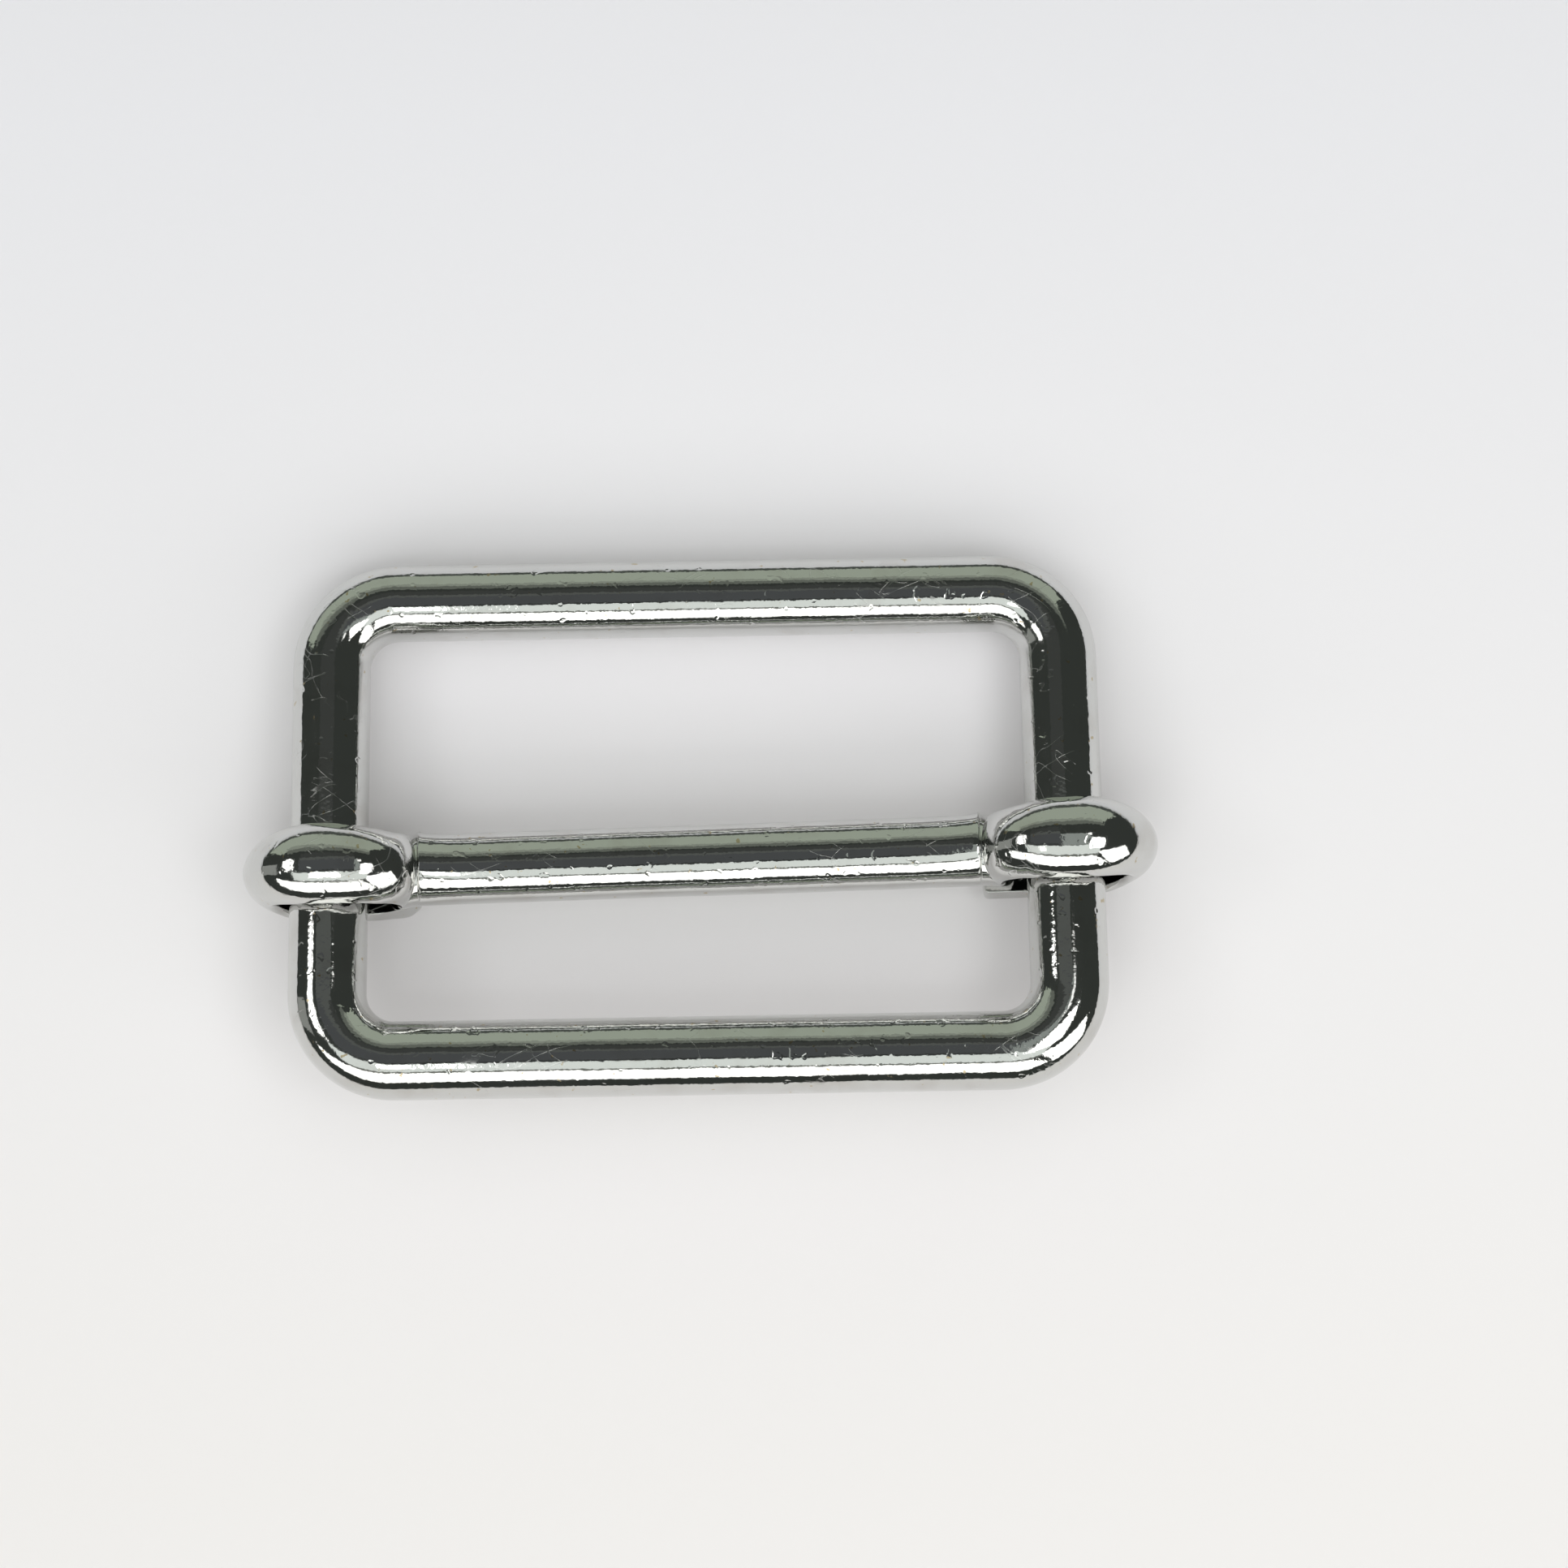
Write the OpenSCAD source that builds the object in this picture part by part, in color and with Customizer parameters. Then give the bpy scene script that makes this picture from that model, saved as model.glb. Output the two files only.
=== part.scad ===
// Sliding-bar strap slider: a rounded wire frame with a cross bar that slides on its side rails.
// Millimetres, +Z up. The slider lies on the plane z = 0 as it rests by itself: on the undersides of
// the bar's two eyes and on the far rail, so the near rail is lifted a little.
// The origin is under the middle of the bar's overall length and of the frame's depth.

/* [Frame] */
// Width of strap that the frame takes, between the side rails
strap_width = 32; // [28:0.5:60]
// Clear depth inside the frame, between the near and the far rail
inside_depth = 19; // [17:0.1:34]
// Thickness of the round wire
wire = 3.8; // [3.2:0.1:4]
// Bend radius on the inside of the corners
corner_inside = 1.4; // [0.8:0.1:2.4]

/* [Bar] */
// Thickness of the round bar
bar = 3.45; // [3.4:0.05:3.6]
// Thickness of the bar's pressed neck, next to each eye
neck = 3.2; // [2.8:0.05:3.4]
// Least width of the neck where its edges are squeezed in
neck_core = 2.6; // [2:0.05:2.8]
// How far the bar rests from the middle of the frame, towards the near rail
bar_offset = 1.9; // [-3:0.1:5]
// How far the loose bar has shifted to the right between the rails
bar_shift = 0.2; // [0:0.05:0.25]
// How far the loose bar has turned out of square, in degrees
bar_skew = 1.05; // [0:0.05:1.5]

/* [Eyes] */
// Width of the half-round strip, along the rail
strip_width = 3.96; // [3.6:0.02:4.4]
// Thickness of the strip at its crown
strip_thick = 1.6; // [1.2:0.05:1.8]
// Thickness of the strip's blunt edges, where it is widest
strip_edge = 0.15; // [0.1:0.05:0.3]
// Free height in the eye, over the wire's own thickness
eye_play = 0.7; // [0.4:0.05:1]
// Free width in the eye, beyond the outer side of the rail
outer_play = 0.8; // [0.6:0.05:1.2]
// Length of the flat stretch over the rail
eye_flat = 1.2; // [0.8:0.1:1.6]
// Gap left under the rail where it sits in the eye
seat_gap = 0.1; // [0.05:0.01:0.2]

/* [Hidden] */
$fn = 96;
far = 60;                 // longer than any piece, for cutting shapes

// Middle line of the wire
bend = corner_inside + wire / 2;
rail_x = strap_width / 2 + wire / 2;
rail_y = inside_depth / 2 + wire / 2;

// Eye, seen along the rail: two round ends joined by flats, x counted out from the bar's middle
hole_r = (wire + eye_play) / 2;
outer_x = rail_x + wire / 2 + outer_play - hole_r;
inner_x = outer_x - eye_flat;
eye_r = hole_r + strip_thick;
seat_lift = hole_r - wire / 2 - seat_gap;

// Radius of the strip's round crown, over its flat inner face
crown_h = strip_thick - strip_edge;
crown_r = (pow(strip_width / 2, 2) + pow(crown_h, 2)) / (2 * crown_h);

// The crease, where the outside of the eye comes down to the top of the bar
crease_x = inner_x - sqrt(pow(eye_r, 2) - pow(bar / 2, 2));
shoulder = 0.3;           // rounding at the bar's two ends

// Each eye, by the radius of the waist on the near and the far edge of its strip towards the bar,
// how far inside the rail's middle its tail is cut, and the tail's taper in degrees and its trimmed
// corner. The bar is pressed and cut by hand, so the two ends differ.
NEAR_WAIST = 0;
FAR_WAIST = 1;
TAIL = 2;
TAPER = 3;
TRIM = 4;
LEFT_EYE = [11, 10.7, 4.4, 8.5, 0.9];
RIGHT_EYE = [17, 50, 3.95, 0, 0];
tip_waist = 10.5;         // the same radius outside the rail, on both edges of both eyes
trim_angle = 45;

// Rest: the plane under the slider touches the far rail and the right eye, the one nearer to it.
reach = rail_y + bar_offset - outer_x * sin(bar_skew);
drop = crown_r - eye_r + seat_lift;
rest_tilt = asin((crown_r - wire / 2) / norm([reach, drop])) - atan2(drop, reach);
rest_lift = wire / 2 + rail_y * sin(rest_tilt);

module at_rest() {
  translate([0, 0, rest_lift]) rotate([-rest_tilt, 0, 0]) children();
}

// Frame

module rail(length) {
  rotate([0, 90, 0]) cylinder(d = wire, h = length, center = true);
}

module corner() {
  rotate_extrude(angle = 90) translate([bend, 0]) circle(d = wire);
}

module frame() {
  long = 2 * (rail_x - bend);
  short = 2 * (rail_y - bend);
  color("silver") at_rest() translate([-bar_shift, 0, 0]) for (turn = [0, 180]) rotate([0, 0, turn]) {
    translate([0, rail_y, 0]) rail(long);
    translate([rail_x, 0, 0]) rotate([0, 0, 90]) rail(short);
    translate([rail_x - bend, rail_y - bend, 0]) corner();
    translate([bend - rail_x, rail_y - bend, 0]) rotate([0, 0, 90]) corner();
  }
}

// Strip of an eye, drawn for the right-hand eye: the rail runs along Y and +X is outwards

module half_round() {
  translate([hole_r, 0]) intersection() {
    translate([strip_thick - crown_r, 0]) circle(r = crown_r);
    translate([0, -strip_width]) square([2 * strip_thick, 2 * strip_width]);
  }
}

// A bend of the strip about Y between two angles, counted from +X up to +Z
module strip_bend(from, to) {
  rotate([90, 0, 0]) rotate([0, 0, from]) rotate_extrude(angle = to - from) half_round();
}

// A straight stretch of the strip, with its crown turned up (180) or down (0)
module strip_run(x_from, x_to, turn) {
  translate([x_from, 0, 0]) rotate([0, 90, 0]) rotate([0, 0, turn])
    linear_extrude(height = x_to - x_from) half_round();
}

// The strip is widest over the outer end of the flat and waisted to both sides of it.
module waisted(near, back) {
  intersection() {
    children();
    translate([outer_x, near - strip_width / 2, 0]) cylinder(r = near, h = far, center = true);
    translate([outer_x, strip_width / 2 - back, 0]) cylinder(r = back, h = far, center = true);
  }
}

// Everything to the left of a line through x, y
module left_of(x, y, angle) {
  translate([x, y, -far / 2]) rotate([0, 0, angle]) cube(far);
}

module tail(end_x, taper, trim) {
  near_edge = -strip_width / 2;
  difference() {
    strip_run(end_x, outer_x, 0);
    if (taper > 0) left_of(rail_x - wire / 2, near_edge, 180 - taper);
    if (trim > 0) left_of(end_x + trim, near_edge, 180 - trim_angle);
  }
}

module eye_hole() {
  for (x = [inner_x, outer_x]) translate([x, 0, 0]) rotate([90, 0, 0]) {
    cylinder(r = hole_r, h = far, center = true);
  }
  translate([inner_x, -far / 2, -hole_r]) cube([eye_flat, far, 2 * hole_r]);
}

// From inside the bar's end towards the rail, scooped out by the eye's hole
module neck_end(thick) {
  difference() {
    translate([crease_x - shoulder, 0, 0]) rotate([0, 90, 0]) cylinder(d = thick, h = rail_x - crease_x);
    eye_hole();
  }
}

module eye(shape) {
  neck_end(neck_core);
  waisted(shape[NEAR_WAIST], shape[FAR_WAIST]) {
    neck_end(neck);
    translate([inner_x, 0, 0]) strip_bend(90, 180);
    strip_run(inner_x, outer_x, 180);
  }
  waisted(tip_waist, tip_waist) translate([outer_x, 0, 0]) strip_bend(-90, 90);
  tail(rail_x - shape[TAIL], shape[TAPER], shape[TRIM]);
}

// The bar between the two creases, with rounded shoulders
module bar_body() {
  rotate([0, 90, 0]) rotate_extrude() {
    translate([0, -crease_x]) square([bar / 2 - shoulder, 2 * crease_x]);
    translate([0, shoulder - crease_x]) square([bar / 2, 2 * (crease_x - shoulder)]);
    for (s = [-1, 1]) translate([bar / 2 - shoulder, s * (crease_x - shoulder)]) circle(r = shoulder);
  }
}

module slide_bar() {
  color("silver") at_rest() translate([0, -bar_offset, seat_lift]) rotate([0, 0, bar_skew]) {
    bar_body();
    eye(RIGHT_EYE);
    mirror([1, 0, 0]) eye(LEFT_EYE);
  }
}

frame();
slide_bar();
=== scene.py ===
"""Strap slider of plated metal: a bent wire frame, and a bar whose eyes slide on its side rails."""

import math

import bmesh
import bpy
from mathutils import Matrix, Vector


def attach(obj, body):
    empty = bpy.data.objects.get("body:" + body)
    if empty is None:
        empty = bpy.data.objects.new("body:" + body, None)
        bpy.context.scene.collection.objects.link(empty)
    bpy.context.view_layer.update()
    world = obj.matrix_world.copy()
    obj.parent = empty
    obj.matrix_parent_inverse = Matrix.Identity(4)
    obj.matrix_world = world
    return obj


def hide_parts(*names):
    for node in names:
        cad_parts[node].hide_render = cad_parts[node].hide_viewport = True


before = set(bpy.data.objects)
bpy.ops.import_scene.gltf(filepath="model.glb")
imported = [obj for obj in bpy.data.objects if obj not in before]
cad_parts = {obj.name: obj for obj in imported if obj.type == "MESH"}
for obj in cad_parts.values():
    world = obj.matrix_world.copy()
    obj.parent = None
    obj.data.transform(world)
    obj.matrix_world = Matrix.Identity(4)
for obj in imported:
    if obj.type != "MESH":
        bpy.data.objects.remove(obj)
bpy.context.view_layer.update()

MM = 0.001
CRISP_ANGLE = 40

# Sizes in millimetres, the same as in the part's source
WIRE_R = 1.9
RAIL_X = 17.9
RAIL_Y = 11.4
BEND = 3.3
BAR_R = 1.725
NECK_R = 1.6
BAR_OFFSET = 1.9
BAR_SHIFT = 0.2
BAR_SKEW = 1.05
SEAT_LIFT = 0.25
HOLE_R = 2.25
OUTER_X = 18.35
INNER_X = 17.15
STRIP_HALF = 1.98
STRIP_THICK = 1.6
TIP_WAIST = 10.5
REST_TILT = 7.4774
REST_LIFT = 3.38355

AT_REST = Matrix.Translation((0, 0, REST_LIFT)) @ Matrix.Rotation(math.radians(-REST_TILT), 4, "X")
FRAME_PLACE = AT_REST @ Matrix.Translation((-BAR_SHIFT, 0, 0))
BAR_PLACE = (
    AT_REST
    @ Matrix.Translation((0, -BAR_OFFSET, SEAT_LIFT))
    @ Matrix.Rotation(math.radians(BAR_SKEW), 4, "Z")
)


# Modelling by hand: a primitive, then edit mode


def deselect_all():
    if bpy.context.object and bpy.context.object.mode != "OBJECT":
        bpy.ops.object.mode_set(mode="OBJECT")
    bpy.ops.object.select_all(action="DESELECT")


def select_only(piece):
    deselect_all()
    piece.select_set(True)
    bpy.context.view_layer.objects.active = piece


def new_ring(name, points, centre):
    """A circle of wire section that faces along X, in edit mode with all of it selected."""
    deselect_all()
    bpy.ops.mesh.primitive_circle_add(
        vertices=points, radius=WIRE_R, location=centre, rotation=(0, math.radians(90), 0)
    )
    piece = bpy.context.object
    piece.name = name
    piece.data.name = name
    bpy.ops.object.transform_apply(location=True, rotation=True, scale=True)
    bpy.ops.object.mode_set(mode="EDIT")
    bpy.ops.mesh.select_all(action="SELECT")
    return piece


def place_selected(piece, places, before):
    """Moves the selected ring to the given places. Each vertex is known by its place in the ring before."""
    mesh = bmesh.from_edit_mesh(piece.data)
    free = set(range(len(before)))
    for vertex in mesh.verts:
        if vertex.select:
            nearest = min(free, key=lambda i: (before[i] - vertex.co).length_squared)
            free.discard(nearest)
            vertex.co = places[nearest]
    bmesh.update_edit_mesh(piece.data)


def close_piece():
    """Merges what the piece in edit mode has twice, turns its faces outwards and leaves edit mode."""
    bpy.ops.mesh.select_all(action="SELECT")
    bpy.ops.mesh.remove_doubles(threshold=0.001)
    bpy.ops.mesh.normals_make_consistent(inside=False)
    bpy.ops.object.mode_set(mode="OBJECT")


def lay_down(piece, place):
    """Brings a piece from its own millimetres to where it rests, in metres, and applies that to its mesh."""
    piece.matrix_world = Matrix.Scale(MM, 4) @ place
    select_only(piece)
    bpy.ops.object.transform_apply(location=True, rotation=True, scale=True)


def smooth_piece(piece):
    """Rounds the piece by one level of subdivision. Edges that still turn by more than the crisp angle
    stay crisp."""
    select_only(piece)
    bpy.ops.object.modifier_add(type="SUBSURF")
    rounding = piece.modifiers[-1]
    rounding.levels = 1
    rounding.render_levels = 1
    bpy.ops.object.modifier_apply(modifier=rounding.name)
    select_only(piece)
    bpy.ops.object.shade_smooth_by_angle(angle=math.radians(CRISP_ANGLE))


# Wire frame

# Points round the wire, and steps along a long side, a short side and a corner
WIRE_POINTS = 48
LONG_STEPS = 48
SHORT_STEPS = 28
CORNER_STEPS = 22


def bend_frame_wire():
    """One ring of wire, drawn along each side and spun round each corner until it meets itself."""
    long_half = RAIL_X - BEND
    short_half = RAIL_Y - BEND
    piece = new_ring("frame_wire", WIRE_POINTS, (-long_half, -RAIL_Y, 0))
    sides = (
        (Vector((1, 0, 0)), 2 * long_half, LONG_STEPS, (long_half, -short_half, 0)),
        (Vector((0, 1, 0)), 2 * short_half, SHORT_STEPS, (long_half, short_half, 0)),
        (Vector((-1, 0, 0)), 2 * long_half, LONG_STEPS, (-long_half, short_half, 0)),
        (Vector((0, -1, 0)), 2 * short_half, SHORT_STEPS, (-long_half, -short_half, 0)),
    )
    for heading, length, steps, corner in sides:
        for _ in range(steps):
            bpy.ops.mesh.extrude_region_move(
                TRANSFORM_OT_translate={"value": heading * (length / steps)}
            )
        bpy.ops.mesh.spin(steps=CORNER_STEPS, angle=math.radians(-90), center=corner, axis=(0, 0, 1))
    close_piece()
    return piece


# Cross bar: one section drawn from the left tail, round the left eye, along the bar and round the right eye

# Points round the section, and those of them on its flat inner face
SECTION_POINTS = 48
FLAT_POINTS = 13
# The strip's crown: a broad middle, tighter shoulders and rounded edges, each by its radius and the turn in
# degrees at which it ends. These radii suit a strip 3.96 wide and 1.6 thick.
CROWN_ARCS = ((2.35, 38), (1.64, 68), (0.31, 180))
# Turns in degrees at which the crown's points lie, from its edge to its middle
CROWN_TURNS = (170, 148, 126, 104, 84, 68, 62, 56, 50, 44, 38, 32, 26, 20, 14, 9, 4.5)

# Each end's outline from above: distance out from the bar's middle, near and far half width
LEFT_OUTLINE = (
    (12.2, 1.725, 1.725),
    (13.0, 1.75, 1.76),
    (13.4, 1.74, 1.79),
    (13.66, 1.73, 1.92),
    (14.0, 1.76, 1.78),
    (14.8, 1.88, 1.64),
    (15.6, 1.97, 1.73),
    (16.6, 1.99, 1.84),
    (17.9, 1.98, 1.98),
    (19.5, 1.93, 1.93),
)
RIGHT_OUTLINE = (
    (12.2, 1.74, 1.725),
    (13.0, 1.75, 1.75),
    (13.3, 1.73, 1.78),
    (13.54, 1.71, 1.90),
    (13.9, 1.73, 1.77),
    (14.6, 1.76, 1.72),
    (15.2, 1.80, 1.78),
    (16.1, 1.90, 1.88),
    (17.2, 1.98, 1.97),
    (18.5, 1.98, 1.98),
    (19.5, 1.93, 1.93),
)
# The crease between eye and bar: its distance out at each end, its depth and half the width of its floor
LEFT_GROOVE = 13.66
RIGHT_GROOVE = 13.54
GROOVE_DEPTH = 0.19
GROOVE_HALF = 0.02
# Each tail: how far inside the rail's middle it is cut, its taper in degrees and its trimmed corner
LEFT_TAIL = (4.0, 8.5, 0.8)
RIGHT_TAIL = (4.1, 0, 0)

# Height over the strip's inner face at which its waist is read, as a share of its thickness
WAIST_HEIGHT = 0.3
# Metal pushed up against the crease: how much thicker the strip gets there
PILE_UP = 0.08
# How full the neck's upper far and near sides are, and how much of that shows at the crease
NECK_FAR = -0.2
NECK_NEAR = 0.3
NECK_SHARE = 0.45
# The same for the bar's upper sides where it meets the crease, and where along the bar that sets in
BAR_FAR = 0.15
BAR_NEAR = -0.22
SWELL_START = 11.4
SWELL_LENGTH = 1.9
# The bar's rounded shoulder: distance in from the crease, depth of its top under the bar's
SHOULDER = ((0.03, 0.16), (0.06, 0.08), (0.10, 0.035), (0.16, 0.012), (0.3, 0.004))
# How far out the bar's plain rings go
BAR_END = 12.8
# The tail's sheared end: distance in from it, size of the section there against the full one. From there on
# the tail's rings are this far apart.
SHEARED_END = ((0.0, 0.84), (0.05, 0.93), (0.12, 0.97), (0.22, 1.0))
TAIL_STEP = 0.30
# The bevel on the near edge of each tail: its width, and its height up the strip
BEVEL = 0.34
BEVEL_DEPTH = 0.75

# Rings: along the tail, round the eye's outer end, along its flat, down to the crease, ribs down the hole's
# wall, ribs back along the underside, and along the bar
TAIL_STEPS = 13
TURN_STEPS = 40
FLAT_STEPS = 5
CREASE_STEPS = 18
WALL_STEPS = 12
UNDER_STEPS = 9
BAR_STEPS = 40


def half_round(thick):
    """Flat inner face at height 0 and a crown at height thick. Across, it runs from -1 to 1."""

    def on_arcs(turn):
        across = fall = start = 0.0
        for radius, end in CROWN_ARCS:
            stop = min(turn, end)
            if stop > start:
                across += radius * (math.sin(math.radians(stop)) - math.sin(math.radians(start)))
                fall += radius * (math.cos(math.radians(start)) - math.cos(math.radians(stop)))
                start = stop
        return across, fall

    widest = on_arcs(90)[0]
    flat, height = on_arcs(180)
    points = []
    for i in range(FLAT_POINTS):
        points.append((flat / widest * (2 * i / (FLAT_POINTS - 1) - 1), 0.0))
    crown = [on_arcs(turn) for turn in CROWN_TURNS]
    crown = crown + [(0.0, 0.0)] + [(-across, fall) for across, fall in reversed(crown)]
    return points + [(across / widest, thick * (1 - fall / height)) for across, fall in crown]


def round_section(thick, far_full, near_full):
    """A full oval of the same points, the bottom quarter of it in place of the flat face. Its upper sides
    are made fuller, or flatter where the number is below 0."""
    points = []
    for i in range(FLAT_POINTS):
        a = math.radians(-135 + 90 * i / (FLAT_POINTS - 1))
        points.append((math.cos(a), math.sin(a)))
    rest = SECTION_POINTS - FLAT_POINTS
    for i in range(rest):
        a = math.radians(-45 + 270 * (i + 1) / (rest + 1))
        across, up = math.cos(a), math.sin(a)
        power = 1.0
        if 0 < a < math.radians(90):
            power = 2 / (2 + far_full)
        elif math.radians(90) < a < math.radians(180):
            power = 2 / (2 + near_full)
        points.append((math.copysign(abs(across) ** power, across), math.copysign(abs(up) ** power, up)))
    return [(u, (v + 1) * thick / 2) for u, v in points]


def blend_sections(first, second, share):
    """The first section, with this share of the second."""
    return [
        (a * (1 - share) + c * share, b * (1 - share) + d * share)
        for (a, b), (c, d) in zip(first, second)
    ]


def read_row(table, x):
    """A smooth reading between the rows of a table: distance out, near half width, far half width."""
    if x <= table[0][0]:
        return table[0][1:]
    for low, high in zip(table, table[1:]):
        if x <= high[0]:
            t = (x - low[0]) / (high[0] - low[0])
            t = t * t * (3 - 2 * t)
            return tuple(a + (b - a) * t for a, b in zip(low[1:], high[1:]))
    return table[-1][1:]


def waist(x):
    """The strip's half width where it turns round the outside of the rail."""
    d = x - OUTER_X
    return STRIP_HALF - TIP_WAIST + math.sqrt(TIP_WAIST * TIP_WAIST - d * d)


def widened(outline, x, direction, section):
    """The section at its real width, read for each point at its own distance out."""
    points = []
    for u, v in section:
        near, far = read_row(outline, x + direction * v)
        points.append((u * (far if u > 0 else near), v))
    return points


def neck_section(thick, share):
    """Between the strip's section and the neck's, which is an oval with its upper sides reshaped."""
    return blend_sections(half_round(thick), round_section(thick, NECK_FAR, NECK_NEAR), share)


def bar_section(outline, x, depth):
    """The bar's own section, its top lowered by the depth."""
    close = min(1.0, max(0.0, (x - SWELL_START) / SWELL_LENGTH)) ** 2
    return widened(outline, x, 0, round_section(2 * BAR_R - depth, BAR_FAR * close, BAR_NEAR * close))


def tail_rows(tail_inside, taper, trim):
    """The tail under the bar: its sheared end rounded off, its near edge tapered, trimmed and bevelled."""
    tail_end = RAIL_X - tail_inside
    full_at = SHEARED_END[-1][0]
    steps = SHEARED_END + tuple((full_at + TAIL_STEP * i, 1.0) for i in range(1, TAIL_STEPS + 1))
    rows = []
    for step, size in steps:
        x = tail_end + step
        near = STRIP_HALF
        if taper:
            near = min(near, STRIP_HALF - (RAIL_X - WIRE_R - x) * math.tan(math.radians(taper)))
        if trim:
            near = min(near, STRIP_HALF - (tail_end + trim - x))
        section = []
        for u, v in half_round(STRIP_THICK):
            edge = near - BEVEL * max(0.0, 1 - v / BEVEL_DEPTH)
            u = max(u * STRIP_HALF, -edge)
            section.append((u * size, STRIP_THICK / 2 + (v - STRIP_THICK / 2) * size))
        rows.append(((x, -HOLE_R), (0, -1), section))
    return rows


def crease_rows(outline, crease):
    """Down the inner side of the eye to the crease, where the strip's section turns into the neck's."""
    rows = []
    for i in range(CREASE_STEPS):
        done = i / CREASE_STEPS
        a = math.radians(90 + (crease - 90) * done)
        x = INNER_X + HOLE_R * math.cos(a)
        thick = STRIP_THICK + PILE_UP * done**2
        section = neck_section(thick, NECK_SHARE * max(0.0, done - 0.5) * 2)
        section = widened(outline, x, math.cos(a), section)
        rows.append(((x, HOLE_R * math.sin(a)), (math.cos(a), math.sin(a)), section))
    return rows


def rib_rows(outline, groove, top_z, crease):
    """Ribs that fan out from the crease, down the hole's wall to its lip, and back along the underside."""
    lip = 180 + math.degrees(math.asin(NECK_R / HOLE_R))
    ribs = []
    for i in range(WALL_STEPS + 1):
        a = math.radians(crease + (lip - crease) * i / WALL_STEPS)
        ribs.append((INNER_X + HOLE_R * math.cos(a), HOLE_R * math.sin(a)))
    lip_x = ribs[-1][0]
    for i in range(1, UNDER_STEPS + 1):
        t = i / UNDER_STEPS
        ribs.append((lip_x + (groove - GROOVE_HALF - lip_x) * t, -NECK_R - (BAR_R - NECK_R) * t * t))
    rows = []
    for i, (x, z) in enumerate(ribs):
        over = groove + GROOVE_HALF * (1 - 2 * i / (len(ribs) - 1))
        crown = Vector((over, top_z)) - Vector((x, z))
        thick = crown.length
        crown.normalize()
        section = neck_section(thick, NECK_SHARE + (1 - NECK_SHARE) * min(1.0, i / (WALL_STEPS + 1)))
        rows.append(((x, z), tuple(crown), widened(outline, x, crown.x, section)))
    return rows


def eye_rows(outline, groove, tail):
    """Rows of place (x, z), direction of the crown and section points, from the tail's end to the bar."""
    rows = tail_rows(*tail)
    for i in range(TURN_STEPS):
        a = math.radians(-90 + 180 * i / TURN_STEPS)
        x = OUTER_X + HOLE_R * math.cos(a)
        width = waist(OUTER_X + (HOLE_R + STRIP_THICK * WAIST_HEIGHT) * math.cos(a))
        section = [(u * width, v) for u, v in half_round(STRIP_THICK)]
        rows.append(((x, HOLE_R * math.sin(a)), (math.cos(a), math.sin(a)), section))
    for i in range(FLAT_STEPS):
        x = OUTER_X + (INNER_X - OUTER_X) * i / FLAT_STEPS
        rows.append(((x, HOLE_R), (0, 1), widened(outline, x, 0, half_round(STRIP_THICK))))
    top_z = BAR_R - GROOVE_DEPTH
    crease = math.degrees(math.atan2(top_z, groove - INNER_X))
    rows += crease_rows(outline, crease)
    rows += rib_rows(outline, groove, top_z, crease)
    for inside, depth in SHOULDER:
        x = groove - inside
        rows.append(((x, -BAR_R), (0, 1), bar_section(outline, x, depth)))
    return rows


def ring_places(row, side):
    """The places of a row's points, on the left (-1) or the right (1) end of the bar."""
    (x, z), (dx, dz), section = row
    return [Vector((side * (x + dx * v), u, z + dz * v)) for u, v in section]


def draw_cross_bar():
    """Draws the section through all its rings, and closes both tails."""
    rings = [ring_places(row, -1) for row in eye_rows(LEFT_OUTLINE, LEFT_GROOVE, LEFT_TAIL)]
    for i in range(1, BAR_STEPS):
        x = BAR_END * (2 * i / BAR_STEPS - 1)
        outline = LEFT_OUTLINE if x < 0 else RIGHT_OUTLINE
        rings.append([Vector((x, u, v - BAR_R)) for u, v in bar_section(outline, abs(x), 0)])
    right = eye_rows(RIGHT_OUTLINE, RIGHT_GROOVE, RIGHT_TAIL)
    rings += [ring_places(row, 1) for row in reversed(right)]
    piece = new_ring("cross_bar", SECTION_POINTS, (0, 0, 0))
    start = [v.co.copy() for v in bmesh.from_edit_mesh(piece.data).verts]
    for before, ring in zip([start] + rings, rings):
        if before is not start:
            bpy.ops.mesh.extrude_region_move(TRANSFORM_OT_translate={"value": (0, 0, 0)})
        place_selected(piece, ring, before)
    # A face closes the right tail's end, which is still selected, and one the left tail's, the first ring.
    bpy.ops.mesh.edge_face_add()
    mesh = bmesh.from_edit_mesh(piece.data)
    mesh.verts.ensure_lookup_table()
    bpy.ops.mesh.select_all(action="DESELECT")
    for vertex in mesh.verts[:SECTION_POINTS]:
        vertex.select = True
    mesh.select_flush(True)
    bmesh.update_edit_mesh(piece.data)
    bpy.ops.mesh.edge_face_add()
    close_piece()
    return piece


# Finish

# Patterns in the plating: cells to a metre, fineness, and the stretch of the noise that counts
WAVES = (300, 1, 0.0, 1.0)
ORANGE_PEEL = (3600, 2, 0.0, 1.0)
PITS = (1700, 1, 0.66, 0.74)
DULL_PATCHES = (520, 4, 0.52, 0.72)
HAZE = (420, 3, 0.35, 0.75)
SPECKS = (2300, 2, 0.70, 0.74)
SCUFFED = (300, 2, 0.54, 0.60)
# Height in millimetres of what stands in relief
WAVE = 0.045
PEEL = 0.006
PIT = 0.008
SCRATCH = 0.0015
# Hairlines: direction in degrees and cells to a metre, the lean of both in radians, how far each is drawn
# out, and its half width as a share of the noise that draws it
HAIRLINES = ((24, 700), (-38, 900))
HAIRLINE_LEAN = (0.3, 0.2)
HAIRLINE_STRETCH = 14
HAIRLINE = 0.006
# Colours of the clean plating, of its dull patches and of its warm specks
CLEAN = (0.635, 0.64, 0.625)
DULL = (0.58, 0.575, 0.555)
WARM = (0.50, 0.43, 0.30)
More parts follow.
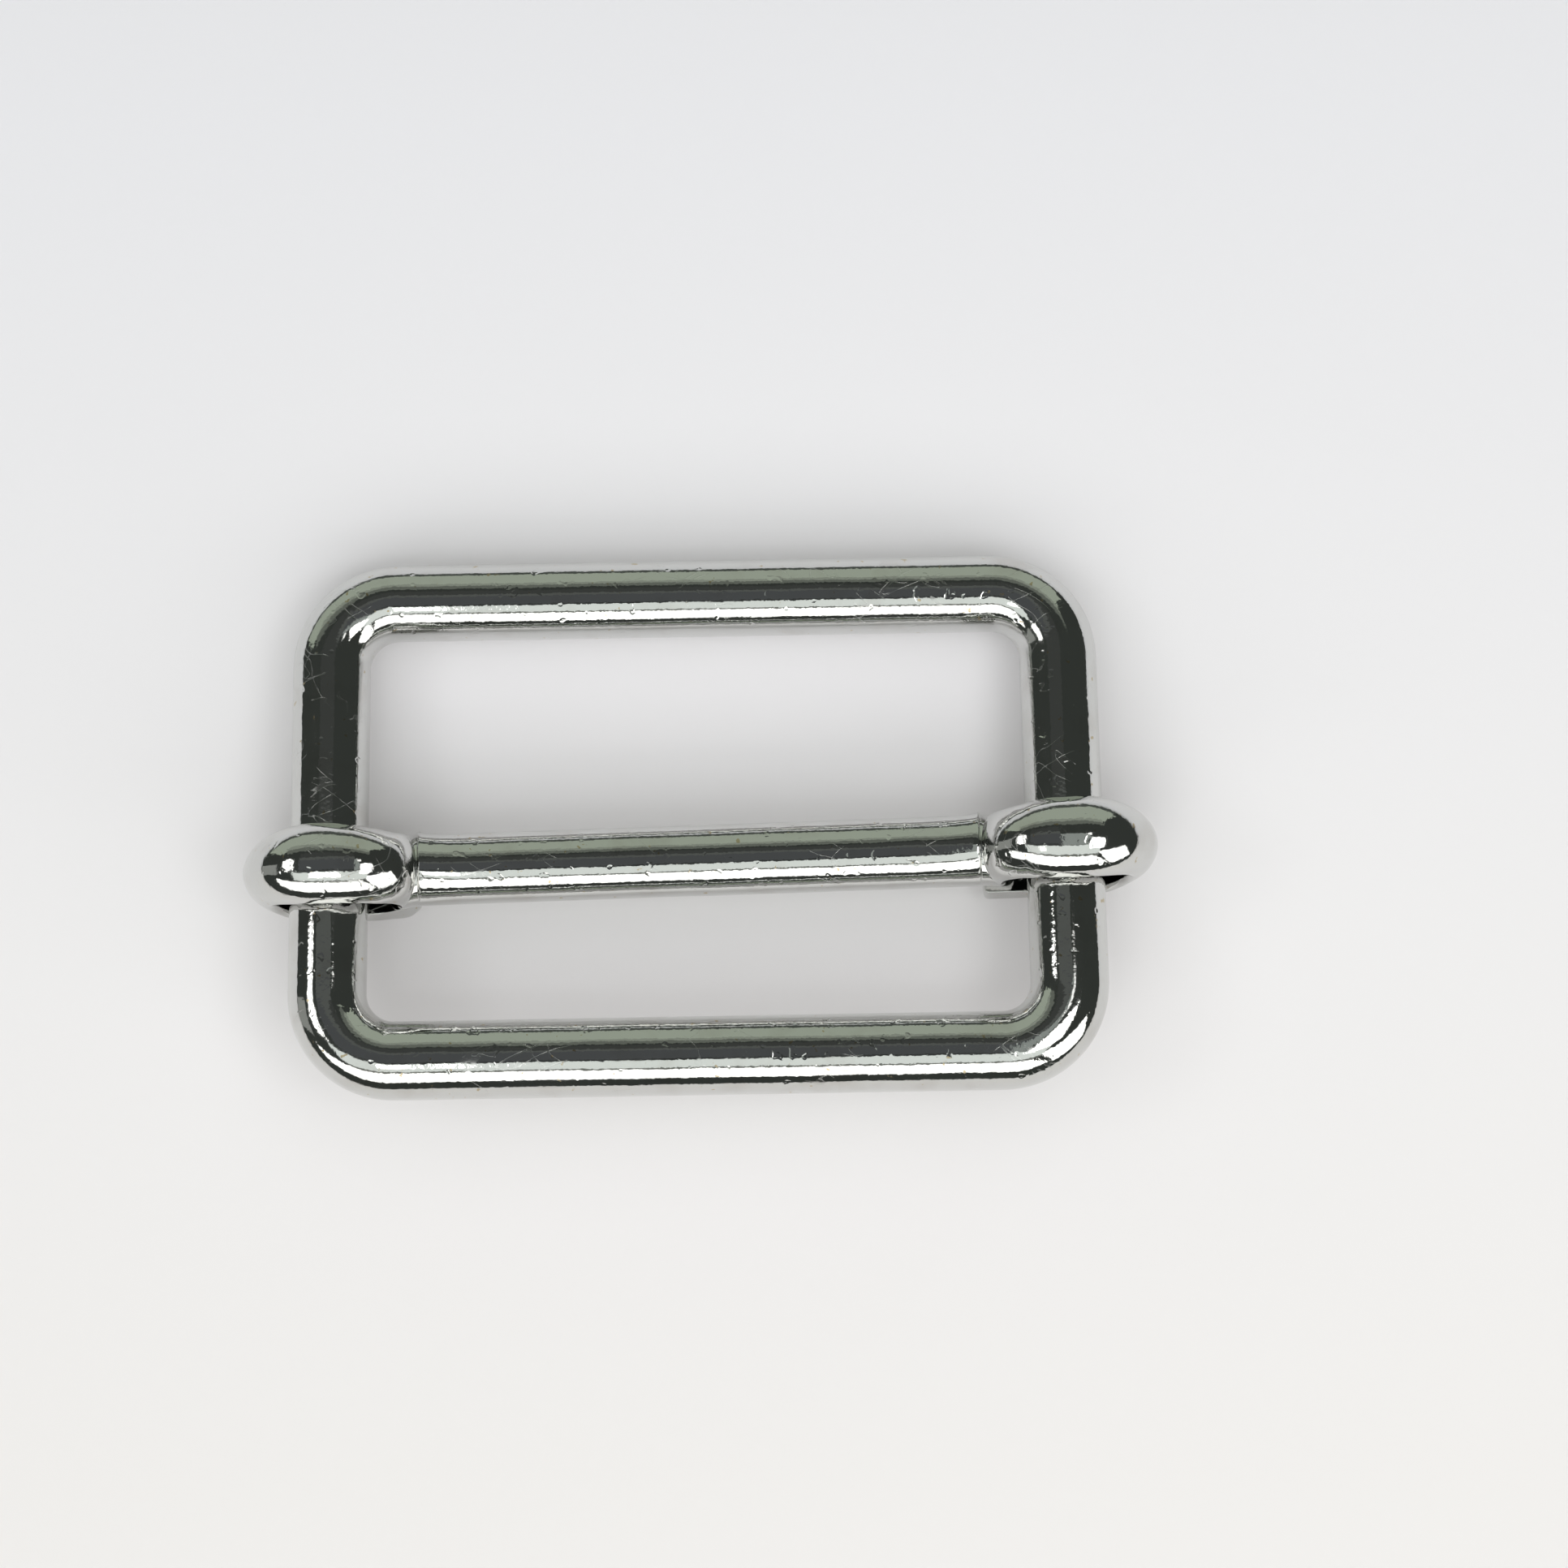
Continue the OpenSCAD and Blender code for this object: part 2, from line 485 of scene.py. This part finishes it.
# Roughness where it is clearest and haziest, and what hairlines and specks add
CLEAR_ROUGH = 0.03
HAZY_ROUGH = 0.10
HAIRLINE_ROUGH = 0.12
SPECK_ROUGH = 0.15


def new_material(name):
    material = bpy.data.materials.new(name)
    material.use_nodes = True
    return material, material.node_tree.nodes, material.node_tree.links


def plating(name):
    """Bright plating: nearly a mirror, wavy and pitted, with dull patches, hairlines and warm specks."""
    material, nodes, links = new_material(name)
    shader = nodes["Principled BSDF"]
    shader.inputs["Metallic"].default_value = 1.0
    where = nodes.new("ShaderNodeTexCoord")

    def turned(angle):
        """The place, leaning a little, turned about Z and drawn out along the new X."""
        mapping = nodes.new("ShaderNodeMapping")
        mapping.vector_type = "TEXTURE"
        mapping.inputs["Rotation"].default_value = (*HAIRLINE_LEAN, math.radians(angle))
        mapping.inputs["Scale"].default_value = (HAIRLINE_STRETCH, 1, 1)
        links.new(where.outputs["Object"], mapping.inputs["Vector"])
        return mapping.outputs["Vector"]

    def spread(scale, detail, low, high, value_low=0.0, value_high=1.0, place=None):
        """Cloudy noise, its stretch from low to high brought to the two values."""
        cloud = nodes.new("ShaderNodeTexNoise")
        cloud.inputs["Scale"].default_value = scale
        cloud.inputs["Detail"].default_value = detail
        links.new(place or where.outputs["Object"], cloud.inputs["Vector"])
        reach = nodes.new("ShaderNodeMapRange")
        reach.inputs["From Min"].default_value = low
        reach.inputs["From Max"].default_value = high
        reach.inputs["To Min"].default_value = value_low
        reach.inputs["To Max"].default_value = value_high
        links.new(cloud.outputs["Fac"], reach.inputs["Value"])
        return reach.outputs["Result"]

    def combine(operation, first, second):
        """Two values combined. Each is a number or an earlier result."""
        maths = nodes.new("ShaderNodeMath")
        maths.operation = operation
        for socket, value in zip(maths.inputs, (first, second)):
            if isinstance(value, float):
                socket.default_value = value
            else:
                links.new(value, socket)
        return maths.outputs[0]

    def hairlines(angle, scale):
        """Thin lines along one direction: where stretched noise passes its middle value."""
        middle = combine("SUBTRACT", spread(scale, 1, 0.0, 1.0, place=turned(angle)), 0.5)
        line = combine("LESS_THAN", combine("ABSOLUTE", middle, 0.0), HAIRLINE)
        return combine("MULTIPLY", line, spread(*SCUFFED))

    def tint(amount, under, over):
        """Mixes two colours, the node's inputs 6 and 7. Each is a colour or an earlier mix."""
        mix = nodes.new("ShaderNodeMix")
        mix.data_type = "RGBA"
        links.new(amount, mix.inputs["Factor"])
        for socket, value in ((mix.inputs[6], under), (mix.inputs[7], over)):
            if isinstance(value, tuple):
                socket.default_value = (*value, 1)
            else:
                links.new(value, socket)
        return mix.outputs[2]

    def relief(height, distance, under=None):
        """The height as relief, on top of the relief under it."""
        bump = nodes.new("ShaderNodeBump")
        bump.inputs["Strength"].default_value = 1.0
        bump.inputs["Distance"].default_value = distance * MM
        links.new(height, bump.inputs["Height"])
        if under:
            links.new(under, bump.inputs["Normal"])
        return bump.outputs["Normal"]

    scratches = combine("MAXIMUM", hairlines(*HAIRLINES[0]), hairlines(*HAIRLINES[1]))
    specks = spread(*SPECKS)
    colour = tint(spread(*DULL_PATCHES), CLEAN, DULL)
    links.new(tint(specks, colour, WARM), shader.inputs["Base Color"])
    rough = combine(
        "ADD", spread(*HAZE, CLEAR_ROUGH, HAZY_ROUGH), combine("MULTIPLY", scratches, HAIRLINE_ROUGH)
    )
    rough = combine("ADD", rough, combine("MULTIPLY", specks, SPECK_ROUGH))
    links.new(rough, shader.inputs["Roughness"])
    surface = relief(spread(*WAVES), WAVE)
    surface = relief(spread(*ORANGE_PEEL), PEEL, surface)
    surface = relief(spread(*PITS, 1, 0), PIT, surface)
    surface = relief(combine("SUBTRACT", 1.0, scratches), SCRATCH, surface)
    links.new(surface, shader.inputs["Normal"])
    return material


# Painted light on the paper: its colour near and far, darker and warmer at the front and cooler and brighter
# at the back, and the distances in millimetres at which it has them
PAPER_NEAR_PAINTED_LIGHT = (0.765, 0.747, 0.752)
PAPER_FAR_PAINTED_LIGHT = (0.815, 0.812, 0.858)
PAINTED_LIGHT_NEAR_Y = -32
PAINTED_LIGHT_FAR_Y = 36


def paper():
    """Matt white paper with painted light in its colour: darker and warmer towards the front, cooler and
    brighter towards the back. A faint glow stands in for the room's light.
    """
    material, nodes, links = new_material("white_paper")
    shader = nodes["Principled BSDF"]
    shader.inputs["Roughness"].default_value = 0.9
    shader.inputs["Specular IOR Level"].default_value = 0.1
    shader.inputs["Emission Color"].default_value = (1, 0.93, 0.82, 1)
    shader.inputs["Emission Strength"].default_value = 0.05
    where = nodes.new("ShaderNodeTexCoord")
    split = nodes.new("ShaderNodeSeparateXYZ")
    links.new(where.outputs["Object"], split.inputs["Vector"])
    back = nodes.new("ShaderNodeMapRange")
    back.inputs["From Min"].default_value = PAINTED_LIGHT_NEAR_Y * MM
    back.inputs["From Max"].default_value = PAINTED_LIGHT_FAR_Y * MM
    links.new(split.outputs["Y"], back.inputs["Value"])
    # Painted light: the colour runs from a darker warm tint at the front to a brighter cool one at the back.
    mix = nodes.new("ShaderNodeMix")
    mix.data_type = "RGBA"
    mix.inputs[6].default_value = (*PAPER_NEAR_PAINTED_LIGHT, 1)
    mix.inputs[7].default_value = (*PAPER_FAR_PAINTED_LIGHT, 1)
    links.new(back.outputs["Result"], mix.inputs["Factor"])
    links.new(mix.outputs[2], shader.inputs["Base Color"])
    return material


def glow(name, colour, strength):
    """An even glow for a card that the metal mirrors."""
    material, nodes, links = new_material(name)
    nodes.remove(nodes["Principled BSDF"])
    light = nodes.new("ShaderNodeEmission")
    light.inputs["Color"].default_value = (*colour, 1)
    light.inputs["Strength"].default_value = strength
    links.new(light.outputs["Emission"], nodes["Material Output"].inputs["Surface"])
    return material


# Stage, in millimetres: the paper, and what the metal mirrors, which is a room's ceiling with its lamps,
# windows to the front and walls to the left and the back. The ceiling and wall cards are no lamps: their
# glow is painted light, as bright as the lit room they stand for.

LAMP = (1, 1, 0.98)
DAYLIGHT = (1.0, 1.0, 0.97)
WALL = (0.42, 0.47, 0.385)
# Name, x from and to, y from and to, height, colour, strength
OVERHEAD_CARDS = (
    ("overhead_front_edge", -100, 30, -42, -30, 168, (0.05, 0.054, 0.052), 1),
    ("overhead_middle", -100, 30, -30, 40, 168, (0.088, 0.093, 0.096), 1),
    ("overhead_light", -100, 30, 40, 58, 168, (0.115, 0.122, 0.115), 1),
    ("overhead_back_edge", -100, 30, 58, 96, 168, (0.06, 0.064, 0.06), 1),
    ("overhead_side", 30, 50, -40, 40, 168, (0.34, 0.37, 0.35), 1),
    ("ceiling_panel", -150, 106, -120, -44, 170, (0.98, 1.03, 0.99), 1),
    ("window_head", -150, 106, -140, -120, 170, (0.22, 0.23, 0.21), 1),
    ("lamp_middle", -56, -31, -86, -48, 166, LAMP, 3),
    ("lamp_right", 54, 126, -66, 10, 166, LAMP, 3),
    ("lamp_small", 44, 60, 28, 42, 166, LAMP, 1.6),
    ("lamp_left", -226, -156, -38, 62, 168, LAMP, 3),
    ("lamp_left_strip", -148, -136, -34, 56, 168, LAMP, 3),
)
# Name, corners in degrees from straight overhead (to the right, to the back), distance, colour, strength
SKY_CARDS = (
    ("window_left", ((-65, -26), (-15, -38), (-15, -66), (-58, -44)), 420, DAYLIGHT, 2),
    ("window_middle", ((-15, -38), (20, -35), (43, -56), (-15, -66)), 420, DAYLIGHT, 2),
    ("window_right", ((24, -29), (66, -15), (76, -40), (48, -59)), 420, DAYLIGHT, 2.1),
    ("side_wall_left", ((-62, 8), (-62, -18), (-88, -18), (-88, 8)), 420, (0.33, 0.34, 0.32), 1),
    ("wall_top", ((-46, 30), (34, 30), (34, 37), (-50, 37)), 470, (0.16, 0.175, 0.15), 1),
    ("wall_high", ((-46, 37), (34, 37), (34, 43), (-50, 43)), 470, (0.31, 0.34, 0.285), 1),
    ("wall_low", ((-50, 43), (34, 43), (56, 56), (-72, 33)), 450, WALL, 1),
)
# Cards that stand behind the slider: name, centre, width and height, colour
STANDING_CARDS = (
    ("wall", (-240, 500, 288), (1320, 435), WALL),
    ("wall_foot", (-240, 499, 30), (1320, 60), (0.09, 0.1, 0.09)),
)
# Name, centre, side of the square, power in watts
FILL_LIGHTS = (
    ("ceiling_fill", (-90, 100, 420), 900, 0.9),
    ("overhead_fill", (-10, 0, 162), 320, 0.18),
)
ROOM = (0.045, 0.05, 0.045)
FLOOR_SIDE = 2400


def card(name, centre, size, material, turn=(0, 0, 0)):
    """A flat card, its centre and size in millimetres."""
    deselect_all()
    bpy.ops.mesh.primitive_plane_add(size=1, location=[c * MM for c in centre], rotation=turn)
    piece = bpy.context.object
    piece.name = name
    piece.scale = (size[0] * MM, size[1] * MM, 1)
    bpy.ops.object.transform_apply(location=False, rotation=False, scale=True)
    piece.data.materials.append(material)
    return piece


def sky_card(name, corners, distance, colour, strength):
    """A card far off, each corner in the direction given. A plane's vertices run in rows and the corners
    go round, so the last two change places."""
    piece = card(name, (0, 0, 0), (1, 1), glow(name, colour, strength))
    for vertex, (right, back) in zip((0, 1, 3, 2), corners):
        slant = math.radians(math.hypot(right, back))
        level = math.atan2(back, right)
        towards = Vector(
            (math.sin(slant) * math.cos(level), math.sin(slant) * math.sin(level), math.cos(slant))
        )
        piece.data.vertices[vertex].co = towards * distance * MM


def fill_light(name, centre, size, power):
    """A wide soft light that lifts the paper and doesn't mirror in the metal."""
    deselect_all()
    bpy.ops.object.light_add(type="AREA", location=[c * MM for c in centre])
    light = bpy.context.object
    light.name = name
    light.data.shape = "SQUARE"
    light.data.size = size * MM
    light.data.energy = power
    light.visible_glossy = False
    light.visible_camera = False


def set_stage():
    card("floor", (0, 0, 0), (FLOOR_SIDE, FLOOR_SIDE), paper())
    for name, x_low, x_high, y_low, y_high, height, colour, strength in OVERHEAD_CARDS:
        centre = ((x_low + x_high) / 2, (y_low + y_high) / 2, height)
        card(name, centre, (x_high - x_low, y_high - y_low), glow(name, colour, strength))
    for row in SKY_CARDS:
        sky_card(*row)
    for name, centre, size, colour in STANDING_CARDS:
        card(name, centre, size, glow(name, colour, 1), turn=(math.radians(90), 0, 0))
    for row in FILL_LIGHTS:
        fill_light(*row)
    world = bpy.context.scene.world or bpy.data.worlds.new("room")
    bpy.context.scene.world = world
    world.use_nodes = True
    world.node_tree.nodes["Background"].inputs["Color"].default_value = (*ROOM, 1)
    bpy.context.scene.view_settings.view_transform = "Standard"


# The camera's place in millimetres, its turn in degrees and its lens on a sensor 36 wide
CAMERA_PLACE = (4.01094, -13.10336, 157.23801)
CAMERA_TURN = (5.55531, 0.06575, -0.99563)
LENS = 72.67


def set_camera():
    deselect_all()
    bpy.ops.object.camera_add(
        location=[c * MM for c in CAMERA_PLACE], rotation=[math.radians(a) for a in CAMERA_TURN]
    )
    camera = bpy.context.object
    camera.name = "camera"
    camera.data.sensor_width = 36
    camera.data.lens = LENS
    camera.data.clip_start = 0.001
    bpy.context.scene.camera = camera


frame_wire = bend_frame_wire()
lay_down(frame_wire, FRAME_PLACE)
smooth_piece(frame_wire)
frame_wire.data.materials.append(plating("frame_plating"))
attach(frame_wire, "frame")
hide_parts("frame")

cross_bar = draw_cross_bar()
lay_down(cross_bar, BAR_PLACE)
smooth_piece(cross_bar)
cross_bar.data.materials.append(plating("bar_plating"))
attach(cross_bar, "slide_bar")
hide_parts("slide_bar")

set_stage()
set_camera()
